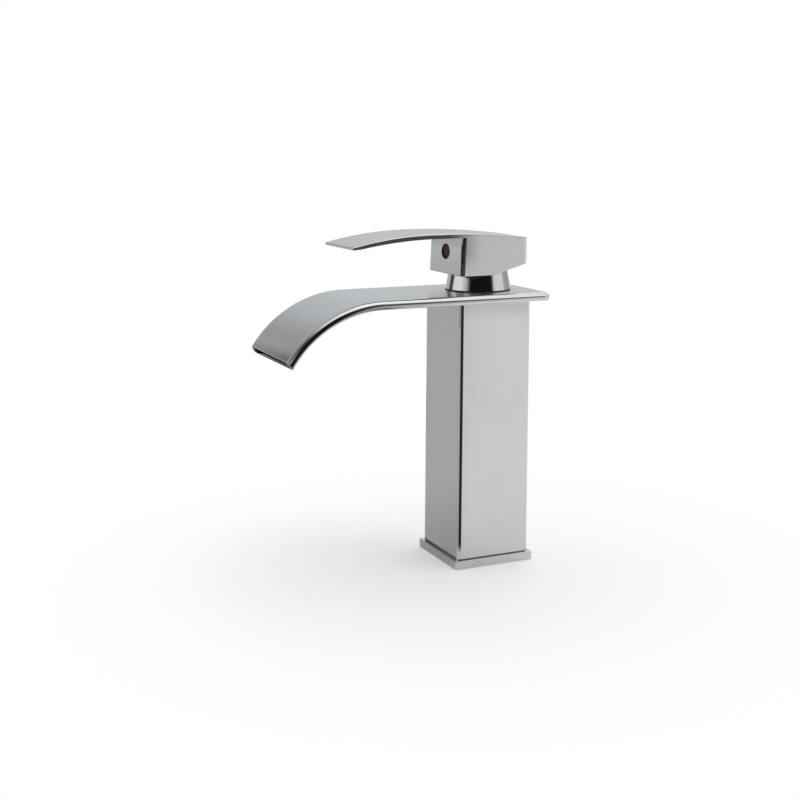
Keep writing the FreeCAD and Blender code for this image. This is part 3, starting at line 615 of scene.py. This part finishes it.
def selectOnly(piece):
    deselectAll()
    piece.select_set(True)
    bpy.context.view_layer.objects.active = piece


def nameNew(name):
    piece = bpy.context.object
    piece.name = piece.data.name = name
    bpy.ops.object.transform_apply(location=True, rotation=True, scale=True)
    return piece


def clearPicks(piece):
    bpy.ops.object.mode_set(mode="OBJECT")
    mesh = piece.data
    for part in (mesh.vertices, mesh.edges, mesh.polygons):
        part.foreach_set("select", [False] * len(part))
    return mesh


def pickFaces(piece, wanted):
    for face in clearPicks(piece).polygons:
        face.select = wanted(face.normal)
    bpy.context.tool_settings.mesh_select_mode = (False, False, True)
    bpy.ops.object.mode_set(mode="EDIT")


def pickEdges(piece, wanted):
    mesh = clearPicks(piece)
    for edge in mesh.edges:
        first, second = [mesh.vertices[index].co for index in edge.vertices]
        edge.select = wanted(first, second)
    bpy.context.tool_settings.mesh_select_mode = (False, True, False)
    bpy.ops.object.mode_set(mode="EDIT")


def upright(first, second):
    climbs = abs(first.z - second.z) > picking["climb"]
    return climbs and (first - second).xy.length < picking["drift"]


def applyModifier(piece, kind, **settings):
    bpy.ops.object.modifier_add(type=kind)
    modifier = piece.modifiers[-1]
    for name, value in settings.items():
        setattr(modifier, name, value)
    bpy.ops.object.modifier_apply(modifier=modifier.name)


def finishPiece(piece, slot, body, node, angle):
    selectOnly(piece)
    bpy.ops.object.shade_smooth_by_angle(angle=radians(angle))
    piece.data.materials.append(finishes[slot])
    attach(piece, body)
    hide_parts(node)


# index plug in the lever's front: moulded ring, fine line, low dome

indexPlug = {
    "sides": 72,
    "ring": 0.0006,
    "line": 0.00012,      # width and depth of the line between ring and dome
    "dome": 0.0003,       # height
    "rings": 7,           # steps of the dome
    "edge": 0.00015,
    "smooth": 40,         # degrees; sharper edges stay sharp
}


def makeIndexPlug():
    low, high = [Vector(corner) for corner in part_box("index_plug")]
    radius = (high.z - low.z) / 2
    widening = (high.x - low.x) / (high.z - low.z)
    face = low.y + indexPlug["dome"]
    middle = (0.0, (face + high.y) / 2, (low.z + high.z) / 2)
    deselectAll()
    bpy.ops.mesh.primitive_cylinder_add(vertices=indexPlug["sides"], radius=radius, depth=high.y - face,
                                        location=middle, rotation=(radians(90), 0, 0), scale=(widening, 1, 1))
    plug = nameNew("indexPlug")
    pickFaces(plug, lambda normal: normal.y < -picking["facing"])
    bpy.ops.mesh.inset(thickness=indexPlug["edge"])
    bpy.ops.transform.translate(value=(0, -indexPlug["edge"] / 2, 0))
    bpy.ops.mesh.inset(thickness=indexPlug["ring"] - indexPlug["edge"])
    for depth in (indexPlug["line"], -indexPlug["line"]):
        bpy.ops.mesh.inset(thickness=indexPlug["line"])
        bpy.ops.transform.translate(value=(0, depth, 0))
    across = radius - indexPlug["ring"] - 2 * indexPlug["line"]
    rise = indexPlug["dome"] - indexPlug["edge"] / 2
    angles = [radians(90 * step / (indexPlug["rings"] + 1)) for step in range(indexPlug["rings"] + 1)]
    for before, after in zip(angles, angles[1:]):
        bpy.ops.mesh.inset(thickness=across * (cos(before) - cos(after)))
        bpy.ops.transform.translate(value=(0, rise * (sin(before) - sin(after)), 0))
    finishPiece(plug, "index_red", "lever", "index_plug", indexPlug["smooth"])


# block in the foot of the column: tapped holes for the hoses and the stud, sockets for the tubes

mmPerMetre = 1000

inletBlock = {
    "corner": 0.001,
    "cornerSteps": 5,
    "edge": 0.0003,
    "edgeSteps": 1,
    "sides": 48,
    "pitch": {"stud_thread": 0.00125, "hot_inlet_thread": 0.001, "cold_inlet_thread": 0.001},
    "depthOfThread": 0.54,          # of the pitch
    "flat": 0.1,                    # of the pitch, at the root and at the crest
    "flank": 0.4,                   # of the pitch, on each side
    "mouth": 0.0004,                # the countersink is this much wider than the thread
    "tube": {"bore": 0.0035, "socket": 0.00455, "seat": 0.0062},
    "boreStart": 0.002,             # over the lower face, inside the tapped hole
    "socketDepth": 0.005,
    "seatDepth": 0.0017,
    "overshoot": 0.001,             # cutters reach this far out of the block
    "smooth": 25,                   # degrees; sharper edges stay sharp
}


def cutAway(piece, cutter):
    selectOnly(piece)
    applyModifier(piece, "BOOLEAN", operation="DIFFERENCE", solver="EXACT", object=cutter)
    deselectAll()
    cutter.select_set(True)
    bpy.ops.object.delete()


def drillBit(place, radius, low, high):
    deselectAll()
    bpy.ops.mesh.primitive_cylinder_add(vertices=inletBlock["sides"], radius=radius, depth=high - low,
                                        location=(place[0], place[1], (low + high) / 2))
    bit = nameNew("drillBit")
    pickFaces(bit, lambda normal: normal.z > picking["facing"])
    return bit


def growBit(place, height, share):
    bpy.ops.mesh.extrude_region_move(TRANSFORM_OT_translate={"value": (0, 0, height)})
    level = place[2] + height
    bpy.ops.transform.resize(value=(share, share, 1.0), center_override=(place[0], place[1], level))
    return place[0], place[1], level


def makeTap(mount):
    place = tuple(mount["pos_m"])
    inner = mount["dims"]["r_mm"] / mmPerMetre
    length = mount["dims"]["length_mm"] / mmPerMetre
    pitch = inletBlock["pitch"][mount["name"]]
    outer = inner + pitch * inletBlock["depthOfThread"]
    mouth = outer + inletBlock["mouth"]
    tap = drillBit(place, mouth, place[2] - inletBlock["overshoot"], place[2])
    place = growBit(place, mouth - inner, inner / mouth)
    flat, flank = pitch * inletBlock["flat"], pitch * inletBlock["flank"]
    ridge = [(flat, 1.0), (flank, outer / inner), (flat, 1.0), (flank, inner / outer)]
    turns = int((length - (mouth - inner)) / pitch) - 1    # the last turn stays plain
    for height, share in ridge * turns:
        place = growBit(place, height, share)
    growBit(place, mount["pos_m"][2] + length - place[2], 1.0)
    return tap


def makeTubeBore(place, top):
    foot = top - inletBlock["socketDepth"]
    radius = inletBlock["tube"]["bore"]
    bore = drillBit(place, radius, place[2] + inletBlock["boreStart"], foot)
    spot = (place[0], place[1], foot)
    steps = [("socket", inletBlock["socketDepth"] - inletBlock["seatDepth"]),
             ("seat", inletBlock["seatDepth"] + inletBlock["overshoot"])]
    for name, height in steps:
        spot = growBit(spot, 0.0, inletBlock["tube"][name] / radius)
        spot = growBit(spot, height, 1.0)
        radius = inletBlock["tube"][name]
    return bore


def makeInletBlock():
    low, high = [Vector(corner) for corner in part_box("inlet_block")]
    deselectAll()
    bpy.ops.mesh.primitive_cube_add(size=1.0, location=(low + high) / 2, scale=high - low)
    block = nameNew("inletBlock")
    pickEdges(block, upright)
    bpy.ops.mesh.bevel(offset=inletBlock["corner"], segments=inletBlock["cornerSteps"], affect="EDGES")
    pickEdges(block, lambda first, second: max(first.z, second.z) < low.z + picking["level"])
    bpy.ops.mesh.bevel(offset=inletBlock["edge"], segments=inletBlock["edgeSteps"], affect="EDGES")
    for mount in frame["record"]["mounts"]:
        if mount["name"] not in inletBlock["pitch"]:
            continue
        cutAway(block, makeTap(mount))
        if mount["name"] != "stud_thread":
            cutAway(block, makeTubeBore(mount["pos_m"], high.z))
    finishPiece(block, "raw_brass", "body", "inlet_block", inletBlock["smooth"])


# gasket under the base: two sealing lips with a channel between them

gasket = {
    "corner": 0.0012,
    "cornerSteps": 5,
    "width": 0.0033,
    "lip": 0.0009,
    "channel": 0.0007,    # depth
    "edge": 0.0002,
    "edgeSteps": 2,
    "edgeAngle": 50,      # degrees; flatter edges aren't rounded
    "smooth": 40,         # degrees; sharper edges stay sharp
}


def makeBaseGasket():
    low, high = [Vector(corner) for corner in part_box("base_gasket")]
    deselectAll()
    bpy.ops.mesh.primitive_cube_add(size=1.0, location=(low + high) / 2, scale=high - low)
    ring = nameNew("baseGasket")
    pickEdges(ring, upright)
    bpy.ops.mesh.bevel(offset=gasket["corner"], segments=gasket["cornerSteps"], affect="EDGES")
    pickFaces(ring, lambda normal: abs(normal.z) > picking["facing"])
    bpy.ops.mesh.inset(thickness=gasket["width"])
    bpy.ops.mesh.bridge_edge_loops()
    pickFaces(ring, lambda normal: normal.z < -picking["facing"])
    bpy.ops.mesh.inset(thickness=gasket["lip"])
    bpy.ops.transform.translate(value=(0, 0, gasket["channel"]))
    bpy.ops.object.mode_set(mode="OBJECT")
    applyModifier(ring, "BEVEL", width=gasket["edge"], segments=gasket["edgeSteps"],
                  angle_limit=radians(gasket["edgeAngle"]))
    finishPiece(ring, "seal_rubber", "body", "base_gasket", gasket["smooth"])


makeIndexPlug()
makeInletBlock()
makeBaseGasket()
print("pieces made: index plug, inlet block, base gasket")
